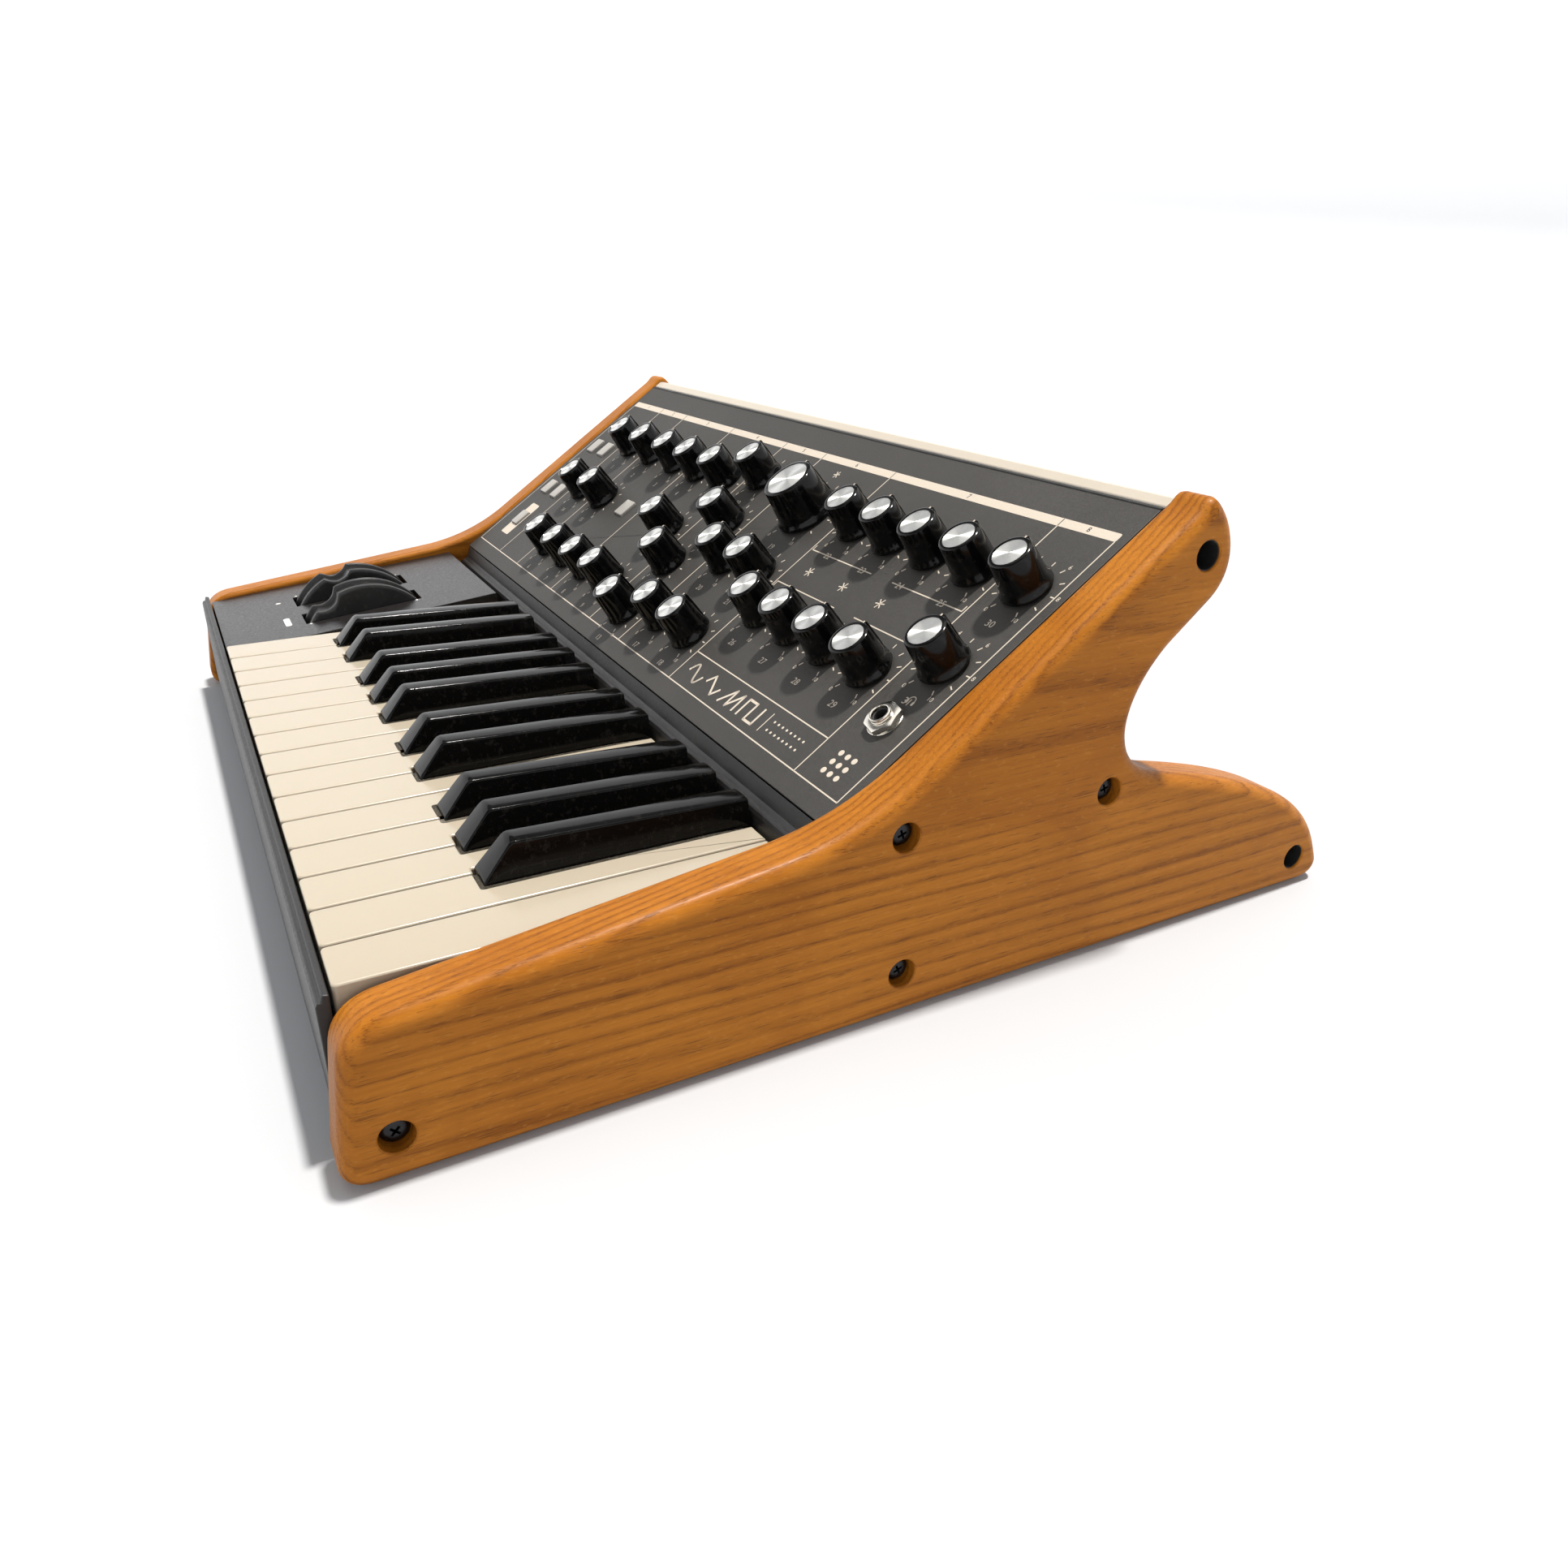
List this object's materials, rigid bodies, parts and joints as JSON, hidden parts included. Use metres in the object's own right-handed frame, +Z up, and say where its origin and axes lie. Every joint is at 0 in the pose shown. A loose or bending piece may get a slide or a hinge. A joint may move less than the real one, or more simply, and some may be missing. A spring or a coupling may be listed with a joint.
{
  "type": "synthesizer",
  "caption": "Desktop analogue synthesizer: sprung piano keys, two performance wheels, tilted panel of knobs, solid oak cheeks with rear feet.",
  "frame": {"origin": "centre of the overall footprint, on the surface that the cheeks stand on", "axes": "+X along the keyboard to the treble end, +Y away from the player, +Z up"},
  "size_m": [0.508, 0.408, 0.1718],
  "materials": {
    "oak": "oiled, grain lengthwise",
    "black_steel": "satin black paint",
    "panel_paint": "fine textured powder coat with cream print",
    "cream_trim": "smooth enamel",
    "white_key": "glossy ivory",
    "black_key": "glossy black",
    "wheel_plastic": "satin moulded",
    "knob_plastic": "glossy black with spun aluminium inlay",
    "switch_plastic": "translucent white",
    "jack_chrome": "polished nickel",
    "circuit_board": "solder mask",
    "connector_plastic": "moulded",
    "keybed_steel": "dull"
  },
  "bodies": {
    "chassis": {"cheek_left": "oak", "cheek_right": "oak", "chassis_tray": "black_steel", "key_slip": "black_steel", "front_rail": "black_steel", "rear_panel": "black_steel", "rear_top_strip": "cream_trim", "rear_connectors": "connector_plastic", "keybed": "keybed_steel", "wheel_panel": "black_steel", "main_board": "circuit_board", "control_panel": "panel_paint", "pot_board": "circuit_board", "headphone_jack": "jack_chrome"},
    "pitch_wheel": {"pitch_wheel": "wheel_plastic"},
    "mod_wheel": {"mod_wheel": "wheel_plastic"},
    "key_c1": {"key_c1": "white_key"},
    "key_c_sharp1": {"key_c_sharp1": "black_key"},
    "key_d1": {"key_d1": "white_key"},
    "key_d_sharp1": {"key_d_sharp1": "black_key"},
    "key_e1": {"key_e1": "white_key"},
    "key_f1": {"key_f1": "white_key"},
    "key_f_sharp1": {"key_f_sharp1": "black_key"},
    "key_g1": {"key_g1": "white_key"},
    "key_g_sharp1": {"key_g_sharp1": "black_key"},
    "key_a1": {"key_a1": "white_key"},
    "key_a_sharp1": {"key_a_sharp1": "black_key"},
    "key_b1": {"key_b1": "white_key"},
    "key_c2": {"key_c2": "white_key"},
    "key_c_sharp2": {"key_c_sharp2": "black_key"},
    "key_d2": {"key_d2": "white_key"},
    "key_d_sharp2": {"key_d_sharp2": "black_key"},
    "key_e2": {"key_e2": "white_key"},
    "key_f2": {"key_f2": "white_key"},
    "key_f_sharp2": {"key_f_sharp2": "black_key"},
    "key_g2": {"key_g2": "white_key"},
    "key_g_sharp2": {"key_g_sharp2": "black_key"},
    "key_a2": {"key_a2": "white_key"},
    "key_a_sharp2": {"key_a_sharp2": "black_key"},
    "key_b2": {"key_b2": "white_key"},
    "key_c3": {"key_c3": "white_key"},
    "cutoff_knob": {"cutoff_knob": "knob_plastic"},
    "resonance_knob": {"resonance_knob": "knob_plastic"},
    "drive_knob": {"drive_knob": "knob_plastic"},
    "filter_attack_knob": {"filter_attack_knob": "knob_plastic"},
    "filter_decay_knob": {"filter_decay_knob": "knob_plastic"},
    "filter_sustain_knob": {"filter_sustain_knob": "knob_plastic"},
    "filter_release_knob": {"filter_release_knob": "knob_plastic"},
    "amplifier_attack_knob": {"amplifier_attack_knob": "knob_plastic"},
    "amplifier_decay_knob": {"amplifier_decay_knob": "knob_plastic"},
    "amplifier_sustain_knob": {"amplifier_sustain_knob": "knob_plastic"},
    "amplifier_release_knob": {"amplifier_release_knob": "knob_plastic"},
    "master_volume_knob": {"master_volume_knob": "knob_plastic"},
    "headphone_volume_knob": {"headphone_volume_knob": "knob_plastic"},
    "octave_down_switch": {"octave_down_switch": "switch_plastic"},
    "octave_up_switch": {"octave_up_switch": "switch_plastic"},
    "bank_switch": {"bank_switch": "switch_plastic"},
    "preset_switch": {"preset_switch": "switch_plastic"},
    "arpeggio_switch": {"arpeggio_switch": "switch_plastic"},
    "sync_switch": {"sync_switch": "switch_plastic"}
  },
  "joints": [
    {"name": "pitch_bend", "type": "hinge", "parent": "chassis", "child": "pitch_wheel", "pos_m": [-0.194, -0.11775, 0.0373], "axis": [1, 0, 0], "range_deg": [-35, 35], "stiffness_Nm_per_rad": 0.6},
    {"name": "modulation", "type": "hinge", "parent": "chassis", "child": "mod_wheel", "pos_m": [-0.154, -0.11775, 0.0373], "axis": [-1, 0, 0], "range_deg": [0, 70]},
    {"name": "press_c1", "type": "hinge", "parent": "chassis", "child": "key_c1", "pos_m": [-0.10725, -0.01175, 0.0483], "axis": [1, 0, 0], "range_deg": [0, 3], "stiffness_Nm_per_rad": 0.5, "springref_deg": -22.92},
    {"name": "press_c_sharp1", "type": "hinge", "parent": "chassis", "child": "key_c_sharp1", "pos_m": [-0.098, -0.01175, 0.0483], "axis": [1, 0, 0], "range_deg": [0, 3], "stiffness_Nm_per_rad": 0.5, "springref_deg": -22.92},
    {"name": "press_f_sharp2", "type": "hinge", "parent": "chassis", "child": "key_f_sharp2", "pos_m": [0.1357, -0.01175, 0.0483], "axis": [1, 0, 0], "range_deg": [0, 3], "stiffness_Nm_per_rad": 0.5, "springref_deg": -22.92},
    {"name": "press_a_sharp2", "type": "hinge", "parent": "chassis", "child": "key_a_sharp2", "pos_m": [0.1903, -0.01175, 0.0483], "axis": [1, 0, 0], "range_deg": [0, 3], "stiffness_Nm_per_rad": 0.5, "springref_deg": -22.92},
    {"name": "press_b2", "type": "hinge", "parent": "chassis", "child": "key_b2", "pos_m": [0.19825, -0.01175, 0.0483], "axis": [1, 0, 0], "range_deg": [0, 3], "stiffness_Nm_per_rad": 0.5, "springref_deg": -22.92},
    {"name": "press_c3", "type": "hinge", "parent": "chassis", "child": "key_c3", "pos_m": [0.22175, -0.01175, 0.0483], "axis": [1, 0, 0], "range_deg": [0, 3], "stiffness_Nm_per_rad": 0.5, "springref_deg": -22.92},
    {"name": "cutoff_turn", "type": "hinge", "parent": "chassis", "child": "cutoff_knob", "pos_m": [0.0565, 0.057, 0.13617], "axis": [0, -0.5693, 0.8221], "range_deg": [-150, 150]},
    {"name": "resonance_turn", "type": "hinge", "parent": "chassis", "child": "resonance_knob", "pos_m": [0.0385, 0.02345, 0.11294], "axis": [0, -0.5693, 0.8221], "range_deg": [-150, 150]},
    {"name": "drive_turn", "type": "hinge", "parent": "chassis", "child": "drive_knob", "pos_m": [0.0685, 0.02378, 0.11317], "axis": [0, -0.5693, 0.8221], "range_deg": [-150, 150]},
    {"name": "filter_attack_turn", "type": "hinge", "parent": "chassis", "child": "filter_attack_knob", "pos_m": [0.0993, 0.05839, 0.13714], "axis": [0, -0.5693, 0.8221], "range_deg": [-150, 150]},
    {"name": "filter_decay_turn", "type": "hinge", "parent": "chassis", "child": "filter_decay_knob", "pos_m": [0.1279, 0.05839, 0.13714], "axis": [0, -0.5693, 0.8221], "range_deg": [-150, 150]},
    {"name": "filter_sustain_turn", "type": "hinge", "parent": "chassis", "child": "filter_sustain_knob", "pos_m": [0.1565, 0.05839, 0.13714], "axis": [0, -0.5693, 0.8221], "range_deg": [-150, 150]},
    {"name": "filter_release_turn", "type": "hinge", "parent": "chassis", "child": "filter_release_knob", "pos_m": [0.1851, 0.05839, 0.13714], "axis": [0, -0.5693, 0.8221], "range_deg": [-150, 150]},
    {"name": "amplifier_attack_turn", "type": "hinge", "parent": "chassis", "child": "amplifier_attack_knob", "pos_m": [0.0993, 0.0112, 0.10446], "axis": [0, -0.5693, 0.8221], "range_deg": [-150, 150]},
    {"name": "amplifier_decay_turn", "type": "hinge", "parent": "chassis", "child": "amplifier_decay_knob", "pos_m": [0.1279, 0.0112, 0.10446], "axis": [0, -0.5693, 0.8221], "range_deg": [-150, 150]},
    {"name": "amplifier_sustain_turn", "type": "hinge", "parent": "chassis", "child": "amplifier_sustain_knob", "pos_m": [0.1565, 0.0112, 0.10446], "axis": [0, -0.5693, 0.8221], "range_deg": [-150, 150]},
    {"name": "amplifier_release_turn", "type": "hinge", "parent": "chassis", "child": "amplifier_release_knob", "pos_m": [0.1851, 0.0112, 0.10446], "axis": [0, -0.5693, 0.8221], "range_deg": [-150, 150]},
    {"name": "master_volume_turn", "type": "hinge", "parent": "chassis", "child": "master_volume_knob", "pos_m": [0.2152, 0.05839, 0.13714], "axis": [0, -0.5693, 0.8221], "range_deg": [-150, 150]},
    {"name": "headphone_volume_turn", "type": "hinge", "parent": "chassis", "child": "headphone_volume_knob", "pos_m": [0.2152, 0.02395, 0.11328], "axis": [0, -0.5693, 0.8221], "range_deg": [-150, 150]},
    {"name": "octave_down_push", "type": "slide", "parent": "chassis", "child": "octave_down_switch", "axis": [0, 0.5693, -0.8221], "range_m": [0, 0.0012], "stiffness_N_per_m": 400, "springref_m": -0.001},
    {"name": "octave_up_push", "type": "slide", "parent": "chassis", "child": "octave_up_switch", "axis": [0, 0.5693, -0.8221], "range_m": [0, 0.0012], "stiffness_N_per_m": 400, "springref_m": -0.001},
    {"name": "bank_push", "type": "slide", "parent": "chassis", "child": "bank_switch", "axis": [0, 0.5693, -0.8221], "range_m": [0, 0.0012], "stiffness_N_per_m": 400, "springref_m": -0.001},
    {"name": "preset_push", "type": "slide", "parent": "chassis", "child": "preset_switch", "axis": [0, 0.5693, -0.8221], "range_m": [0, 0.0012], "stiffness_N_per_m": 400, "springref_m": -0.001},
    {"name": "arpeggio_push", "type": "slide", "parent": "chassis", "child": "arpeggio_switch", "axis": [0, 0.5693, -0.8221], "range_m": [0, 0.0012], "stiffness_N_per_m": 400, "springref_m": -0.001},
    {"name": "sync_push", "type": "slide", "parent": "chassis", "child": "sync_switch", "axis": [0, 0.5693, -0.8221], "range_m": [0, 0.0012], "stiffness_N_per_m": 400, "springref_m": -0.001},
    {"name": "press_d1", "type": "hinge", "parent": "chassis", "child": "key_d1", "pos_m": [-0.08375, -0.01175, 0.0483], "axis": [1, 0, 0], "range_deg": [0, 3], "stiffness_Nm_per_rad": 0.5, "springref_deg": -22.92},
    {"name": "press_d_sharp1", "type": "hinge", "parent": "chassis", "child": "key_d_sharp1", "pos_m": [-0.0695, -0.01175, 0.0483], "axis": [1, 0, 0], "range_deg": [0, 3], "stiffness_Nm_per_rad": 0.5, "springref_deg": -22.92},
    {"name": "press_e1", "type": "hinge", "parent": "chassis", "child": "key_e1", "pos_m": [-0.06025, -0.01175, 0.0483], "axis": [1, 0, 0], "range_deg": [0, 3], "stiffness_Nm_per_rad": 0.5, "springref_deg": -22.92},
    {"name": "press_f1", "type": "hinge", "parent": "chassis", "child": "key_f1", "pos_m": [-0.03675, -0.01175, 0.0483], "axis": [1, 0, 0], "range_deg": [0, 3], "stiffness_Nm_per_rad": 0.5, "springref_deg": -22.92},
    {"name": "press_f_sharp1", "type": "hinge", "parent": "chassis", "child": "key_f_sharp1", "pos_m": [-0.0288, -0.01175, 0.0483], "axis": [1, 0, 0], "range_deg": [0, 3], "stiffness_Nm_per_rad": 0.5, "springref_deg": -22.92},
    {"name": "press_g1", "type": "hinge", "parent": "chassis", "child": "key_g1", "pos_m": [-0.01325, -0.01175, 0.0483], "axis": [1, 0, 0], "range_deg": [0, 3], "stiffness_Nm_per_rad": 0.5, "springref_deg": -22.92},
    {"name": "press_g_sharp1", "type": "hinge", "parent": "chassis", "child": "key_g_sharp1", "pos_m": [-0.0015, -0.01175, 0.0483], "axis": [1, 0, 0], "range_deg": [0, 3], "stiffness_Nm_per_rad": 0.5, "springref_deg": -22.92},
    {"name": "press_a1", "type": "hinge", "parent": "chassis", "child": "key_a1", "pos_m": [0.01025, -0.01175, 0.0483], "axis": [1, 0, 0], "range_deg": [0, 3], "stiffness_Nm_per_rad": 0.5, "springref_deg": -22.92},
    {"name": "press_a_sharp1", "type": "hinge", "parent": "chassis", "child": "key_a_sharp1", "pos_m": [0.0258, -0.01175, 0.0483], "axis": [1, 0, 0], "range_deg": [0, 3], "stiffness_Nm_per_rad": 0.5, "springref_deg": -22.92},
    {"name": "press_b1", "type": "hinge", "parent": "chassis", "child": "key_b1", "pos_m": [0.03375, -0.01175, 0.0483], "axis": [1, 0, 0], "range_deg": [0, 3], "stiffness_Nm_per_rad": 0.5, "springref_deg": -22.92},
    {"name": "press_c2", "type": "hinge", "parent": "chassis", "child": "key_c2", "pos_m": [0.05725, -0.01175, 0.0483], "axis": [1, 0, 0], "range_deg": [0, 3], "stiffness_Nm_per_rad": 0.5, "springref_deg": -22.92},
    {"name": "press_c_sharp2", "type": "hinge", "parent": "chassis", "child": "key_c_sharp2", "pos_m": [0.0665, -0.01175, 0.0483], "axis": [1, 0, 0], "range_deg": [0, 3], "stiffness_Nm_per_rad": 0.5, "springref_deg": -22.92},
    {"name": "press_d2", "type": "hinge", "parent": "chassis", "child": "key_d2", "pos_m": [0.08075, -0.01175, 0.0483], "axis": [1, 0, 0], "range_deg": [0, 3], "stiffness_Nm_per_rad": 0.5, "springref_deg": -22.92},
    {"name": "press_d_sharp2", "type": "hinge", "parent": "chassis", "child": "key_d_sharp2", "pos_m": [0.095, -0.01175, 0.0483], "axis": [1, 0, 0], "range_deg": [0, 3], "stiffness_Nm_per_rad": 0.5, "springref_deg": -22.92},
    {"name": "press_e2", "type": "hinge", "parent": "chassis", "child": "key_e2", "pos_m": [0.10425, -0.01175, 0.0483], "axis": [1, 0, 0], "range_deg": [0, 3], "stiffness_Nm_per_rad": 0.5, "springref_deg": -22.92},
    {"name": "press_f2", "type": "hinge", "parent": "chassis", "child": "key_f2", "pos_m": [0.12775, -0.01175, 0.0483], "axis": [1, 0, 0], "range_deg": [0, 3], "stiffness_Nm_per_rad": 0.5, "springref_deg": -22.92},
    {"name": "press_g2", "type": "hinge", "parent": "chassis", "child": "key_g2", "pos_m": [0.15125, -0.01175, 0.0483], "axis": [1, 0, 0], "range_deg": [0, 3], "stiffness_Nm_per_rad": 0.5, "springref_deg": -22.92},
    {"name": "press_g_sharp2", "type": "hinge", "parent": "chassis", "child": "key_g_sharp2", "pos_m": [0.163, -0.01175, 0.0483], "axis": [1, 0, 0], "range_deg": [0, 3], "stiffness_Nm_per_rad": 0.5, "springref_deg": -22.92},
    {"name": "press_a2", "type": "hinge", "parent": "chassis", "child": "key_a2", "pos_m": [0.17475, -0.01175, 0.0483], "axis": [1, 0, 0], "range_deg": [0, 3], "stiffness_Nm_per_rad": 0.5, "springref_deg": -22.92}
  ]
}
